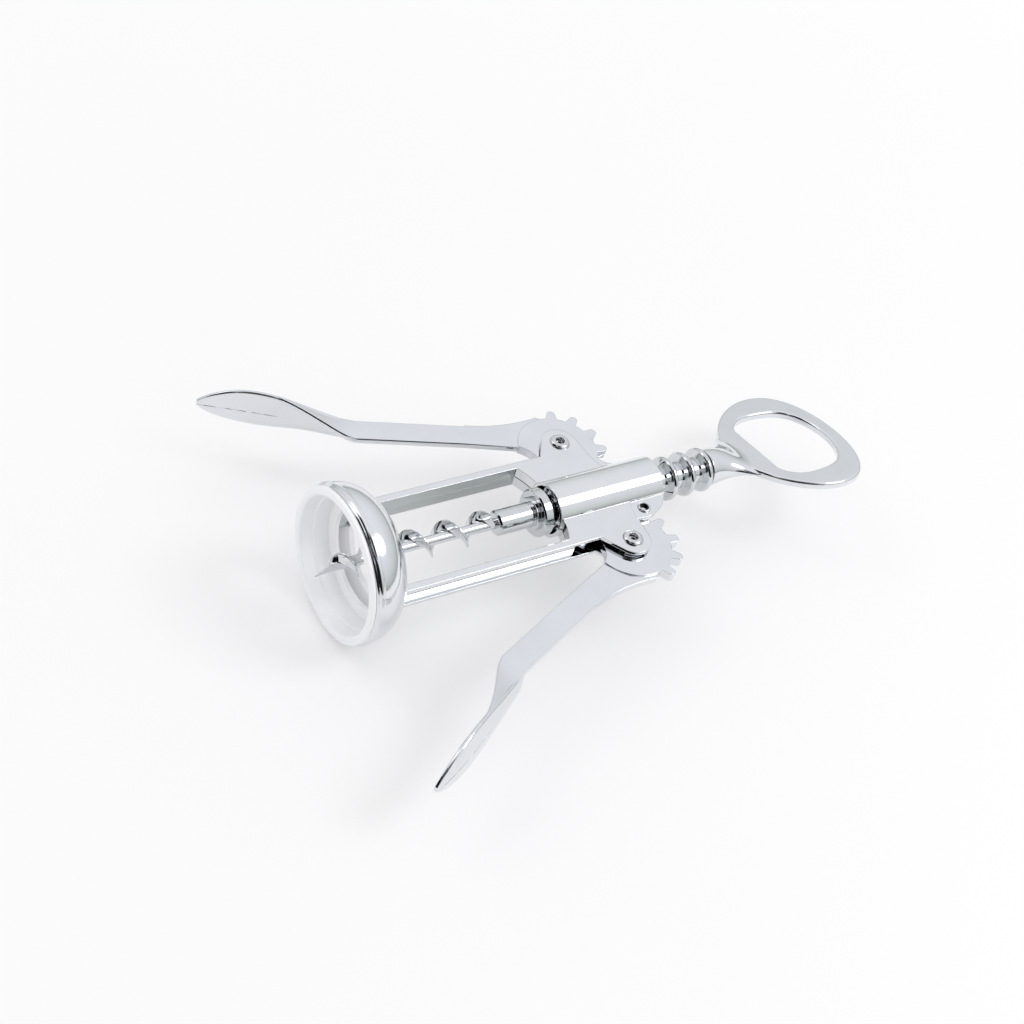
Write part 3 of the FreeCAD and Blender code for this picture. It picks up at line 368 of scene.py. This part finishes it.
# The fin rises out of the point and runs out below the plain top of the core.
rising = add_node(winding, "ShaderNodeMapRange", {"interpolation_type": "SMOOTHSTEP"},
                  {"Value": height, "From Min": given["Fin Starts"],
                   "From Max": given["Fin Whole"]})
fading = add_node(winding, "ShaderNodeMapRange",
                  {"interpolation_type": "SMOOTHSTEP", "To Min": 1.0, "To Max": 0.0},
                  {"Value": height, "From Min": given["Fin Thins"],
                   "From Max": given["Fin Ends"]})
depth = add_node(winding, "ShaderNodeMath", {"operation": "MULTIPLY"},
                 {0: rising.outputs["Result"], 1: fading.outputs["Result"]})
depth = add_node(winding, "ShaderNodeMath", {"operation": "MULTIPLY"},
                 {0: depth.outputs["Value"], 1: given["Fin Depth"]})
core = add_node(winding, "ShaderNodeMapRange", links={
    "Value": height, "From Min": given["Tip"], "From Max": given["Point Ends"],
    "To Min": given["Tip Radius"], "To Max": given["Core Radius"]})
distance = add_node(winding, "ShaderNodeMath", {"operation": "MULTIPLY_ADD"},
                    {0: depth.outputs["Value"], 1: flank.outputs["Value"],
                     2: core.outputs["Result"]})

# The crest's own turn at this height, stopped where the fin ends.
wound = add_node(winding, "ShaderNodeMath", {"operation": "MINIMUM"},
                 {0: height, 1: given["Fin Ends"]})
wound = add_node(winding, "ShaderNodeMath", {"operation": "SUBTRACT"},
                 {0: wound.outputs["Value"], 1: given["Crest At"]})
wound = add_node(winding, "ShaderNodeMath", {"operation": "DIVIDE"},
                 {0: wound.outputs["Value"], 1: given["Pitch"]})
wound = add_node(winding, "ShaderNodeMath", {"operation": "MULTIPLY_ADD", 1: math.tau},
                 {0: wound.outputs["Value"], 2: turn.outputs["Value"]})
upright = add_node(winding, "ShaderNodeCombineXYZ",
                   links={"X": height, "Y": distance.outputs["Value"]})
turned = add_node(winding, "ShaderNodeVectorRotate", {"rotation_type": "X_AXIS"},
                  {"Vector": upright.outputs["Vector"], "Angle": wound.outputs["Value"]})

# The point leans off the axis, to where the first turn of the fin begins.
sharpened = add_node(winding, "ShaderNodeMapRange", {"To Min": 1.0, "To Max": 0.0},
                     {"Value": height, "From Min": given["Tip"],
                      "From Max": given["Point Ends"]})
lean = add_node(winding, "ShaderNodeMath", {"operation": "POWER", 1: 1.6},
                {0: sharpened.outputs["Result"]})
lean = add_node(winding, "ShaderNodeMath", {"operation": "MULTIPLY"},
                {0: lean.outputs["Value"], 1: given["Tip Offset"]})
sideways = add_node(winding, "ShaderNodeCombineXYZ", links={"Y": lean.outputs["Value"]})
moved = add_node(winding, "ShaderNodeVectorMath", {"operation": "SUBTRACT"},
                 {0: turned.outputs["Vector"], 1: sideways.outputs["Vector"]})
shaped = add_node(winding, "GeometryNodeSetPosition", links={
    "Geometry": tube.outputs["Mesh"], "Position": moved.outputs["Vector"]})
smooth = add_node(winding, "GeometryNodeSetShadeSmooth", links={
    "Geometry": shaped.outputs["Geometry"]})
real = add_node(winding, "GeometryNodeRealizeInstances", links={
    "Geometry": smooth.outputs["Geometry"]})
plated = add_node(winding, "GeometryNodeSetMaterial", {"Material": ground_steel},
                  {"Geometry": real.outputs["Geometry"]})
add_node(winding, "NodeGroupOutput", links={"Geometry": plated.outputs["Geometry"]})

maker = bpy.data.objects.new("worm_maker", bpy.data.meshes.new("worm_maker"))
bpy.context.collection.objects.link(maker)
modifier = maker.modifiers.new("winding", "NODES")
modifier.node_group = winding
for name, value in worm_sizes.items():
    modifier[sockets[name]] = value
made = maker.evaluated_get(bpy.context.evaluated_depsgraph_get())
mesh = bpy.data.meshes.new_from_object(made)
bpy.data.objects.remove(maker)
mesh.name = "worm_skin"
worm = bpy.data.objects.new("worm_skin", mesh)
bpy.context.collection.objects.link(worm)
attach(worm, "spindle")
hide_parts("worm")


# ---- cap lifter ---------------------------------------------------------------------------
# Forged with the neck in one piece, its rims rounded by tumbling, then chrome plated: the
# waviest surface of the tool.

forged_chrome = plated_metal("bright chrome on a forging", "#EEEFF2", "#E0E3E6",
                             0.05, 0.02, wave_mm=7.0, wave_height_mm=0.02, edge_mm=0.3)
dress(forged_chrome, "opener")


# ---- table and light ----------------------------------------------------------------------
# A matt pale table, a soft box to the right of the camera, and a white tent overhead that is
# open towards the camera: chrome shows the tent as pale grey and the opening as dark lines.

floor_height = cad_box[0][2]
reach = 3.0
corners = [(-reach, -reach), (reach, -reach), (reach, reach), (-reach, reach)]
mesh = bpy.data.meshes.new("table")
mesh.from_pydata([(x, y, floor_height) for x, y in corners], [], [(0, 1, 2, 3)])
floor = bpy.data.objects.new("table", mesh)
bpy.context.collection.objects.link(floor)
material = bpy.data.materials.new("pale matt table")
material.use_nodes = True
tree = material.node_tree
tree.nodes.clear()
place = add_node(tree, "ShaderNodeTexCoord")
cloud = add_node(tree, "ShaderNodeTexNoise", {"Scale": 6.0},
                 {"Vector": place.outputs["Object"]})
tone = add_node(tree, "ShaderNodeMixRGB",
                {"Color1": colour("#FBFBFC"), "Color2": colour("#F8F8FA")},
                {"Fac": cloud.outputs["Fac"]})
paper = add_node(tree, "ShaderNodeBsdfPrincipled", {"Roughness": 0.6},
                 {"Base Color": tone.outputs["Color"]})

# For the eye only, the table is paler than its light, and away from the tool it fades to a
# plain white background.
table_middle = (0.07, 0, -0.02)
fade_starts, fade_whole = 0.10, 0.50
least_white = 0.30
away = add_node(tree, "ShaderNodeVectorMath", {"operation": "DISTANCE", 1: table_middle},
                {0: place.outputs["Object"]})
faded = add_node(tree, "ShaderNodeMapRange",
                 {"interpolation_type": "SMOOTHSTEP", "From Min": fade_starts,
                  "From Max": fade_whole, "To Min": least_white},
                 {"Value": away.outputs["Value"]})
path = add_node(tree, "ShaderNodeLightPath")
share = add_node(tree, "ShaderNodeMath", {"operation": "MULTIPLY"},
                 {0: faded.outputs["Result"], 1: path.outputs["Is Camera Ray"]})
white = add_node(tree, "ShaderNodeEmission", {"Color": colour("#FFFFFF"), "Strength": 1.0})
shader = add_node(tree, "ShaderNodeMixShader",
                  links={0: share.outputs["Value"], 1: paper.outputs["BSDF"],
                         2: white.outputs["Emission"]})
add_node(tree, "ShaderNodeOutputMaterial", links={"Surface": shader.outputs["Shader"]})
mesh.materials.append(material)

world = bpy.data.worlds.new("light tent")
bpy.context.scene.world = world
world.use_nodes = True
tree = world.node_tree
tree.nodes.clear()
way = add_node(tree, "ShaderNodeTexCoord")
parts = add_node(tree, "ShaderNodeSeparateXYZ", links={"Vector": way.outputs["Generated"]})
tent = add_node(tree, "ShaderNodeValToRGB", links={"Fac": parts.outputs["Z"]})
tent_stops = [(0.0, "#A4A9AA"), (0.10, "#C4C9C8"), (0.24, "#D7DBDA"), (0.42, "#E3E5E8"),
              (0.62, "#ECEEF2"), (0.84, "#F1F2F6")]
ramp = tent.color_ramp
while len(ramp.elements) < len(tent_stops):
    ramp.elements.new(1.0)
for stop, (height, shade) in zip(ramp.elements, tent_stops):
    stop.position = height
    stop.color = colour(shade)


def round_patch(direction, rim, core):
    """1 for a ray well inside a round patch of the tent, 0 outside its rim (as cosines)."""
    towards = add_node(tree, "ShaderNodeVectorMath",
                       {"operation": "DOT_PRODUCT", 1: Vector(direction).normalized()},
                       {0: way.outputs["Generated"]})
    patch = add_node(tree, "ShaderNodeMapRange",
                     {"interpolation_type": "SMOOTHSTEP", "From Min": rim, "From Max": core},
                     {"Value": towards.outputs["Value"]})
    return patch.outputs["Result"]


# The opening: towards the camera and the table's front, up to about forty degrees.
opening_foot, opening_top = 0.60, 0.72
below = add_node(tree, "ShaderNodeMapRange",
                 {"interpolation_type": "SMOOTHSTEP", "From Min": opening_top,
                  "From Max": opening_foot}, {"Value": parts.outputs["Z"]})
opening = add_node(tree, "ShaderNodeMath", {"operation": "MULTIPLY"},
                   {0: round_patch((-0.70, -0.71, 0.0), 0.52, 0.74),
                    1: below.outputs["Result"]})

# A dark cloth beside the opening, higher up, placed to draw the black edges of the paddles.
# It is cut off at the back, where it would blacken a whole lever seen from the right.
cloth_edge, cloth_cut = 0.38, 0.48
trimmed = add_node(tree, "ShaderNodeMapRange",
                   {"interpolation_type": "SMOOTHSTEP", "From Min": cloth_cut,
                    "From Max": cloth_edge}, {"Value": parts.outputs["Y"]})
cloth = add_node(tree, "ShaderNodeMath", {"operation": "MULTIPLY"},
                 {0: round_patch((-0.7825, 0.1663, 0.60), 0.84, 0.90),
                  1: trimmed.outputs["Result"]})
dark = add_node(tree, "ShaderNodeMath", {"operation": "MAXIMUM"},
                {0: opening.outputs["Value"], 1: cloth.outputs["Value"]})

# A dark patch nearly overhead, placed to draw the dark lower end of the bell's edge.
dark = add_node(tree, "ShaderNodeMath", {"operation": "MAXIMUM"},
                {0: dark.outputs["Value"],
                 1: round_patch((-0.223, -0.419, 0.88), 0.92, 0.975)})
room = add_node(tree, "ShaderNodeMixRGB", {"Color2": colour("#0C0D0E")},
                {"Fac": dark.outputs["Value"], "Color1": tent.outputs["Color"]})

path = add_node(tree, "ShaderNodeLightPath")
mirrored = add_node(tree, "ShaderNodeBackground", {"Strength": 1.0},
                    {"Color": room.outputs["Color"]})
fill = add_node(tree, "ShaderNodeBackground", {"Color": colour("#FFFFFF"), "Strength": 0.86})
back = add_node(tree, "ShaderNodeBackground", {"Color": colour("#FFFFFF"), "Strength": 1.0})
shiny = add_node(tree, "ShaderNodeMath", {"operation": "MAXIMUM"},
                 {0: path.outputs["Is Glossy Ray"], 1: path.outputs["Is Transmission Ray"]})
lit = add_node(tree, "ShaderNodeMixShader",
               links={0: shiny.outputs["Value"], 1: fill.outputs["Background"],
                      2: mirrored.outputs["Background"]})
seen = add_node(tree, "ShaderNodeMixShader",
                links={0: path.outputs["Is Camera Ray"], 1: lit.outputs["Shader"],
                       2: back.outputs["Background"]})
add_node(tree, "ShaderNodeOutputWorld", links={"Surface": seen.outputs["Shader"]})


def soft_box(name, place, aim, width, height, power):
    """An oval lamp that looks from its place at the aim."""
    lamp = bpy.data.lights.new(name, "AREA")
    lamp.shape = "ELLIPSE"
    lamp.size = width
    lamp.size_y = height
    lamp.energy = power
    item = bpy.data.objects.new(name, lamp)
    item.location = place
    item.rotation_euler = (Vector(aim) - Vector(place)).to_track_quat("-Z", "Y").to_euler()
    bpy.context.collection.objects.link(item)


soft_box("key on the right", (0.55, -0.32, 0.70), (0.07, 0, 0), 0.4, 0.4, 1.5)
soft_box("fill on the left", (-0.35, 0.45, 0.70), (0.07, 0, 0), 0.4, 0.4, 0.4)


# ---- camera -------------------------------------------------------------------------------
# Looks down at about forty degrees from beside the bell's mouth.

camera = bpy.data.cameras.new("camera")
camera.sensor_width = 36
camera.lens = 62.82
camera.shift_x = 0.001
camera.clip_start = 0.01
item = bpy.data.objects.new("camera", camera)
bpy.context.collection.objects.link(item)
right = Vector((0.8346654, -0.49864688, 0.23384815))
up = Vector((0.21981174, 0.69091476, 0.68870864))
back_way = Vector((-0.50499155, -0.5234387, 0.68629109))
place = Vector((-0.17108, -0.22791, 0.30159))
rows = [[right[i], up[i], back_way[i], place[i]] for i in range(3)]
item.matrix_world = Matrix(rows + [[0, 0, 0, 1]])
bpy.context.scene.camera = item
bpy.context.scene.view_settings.view_transform = "Standard"
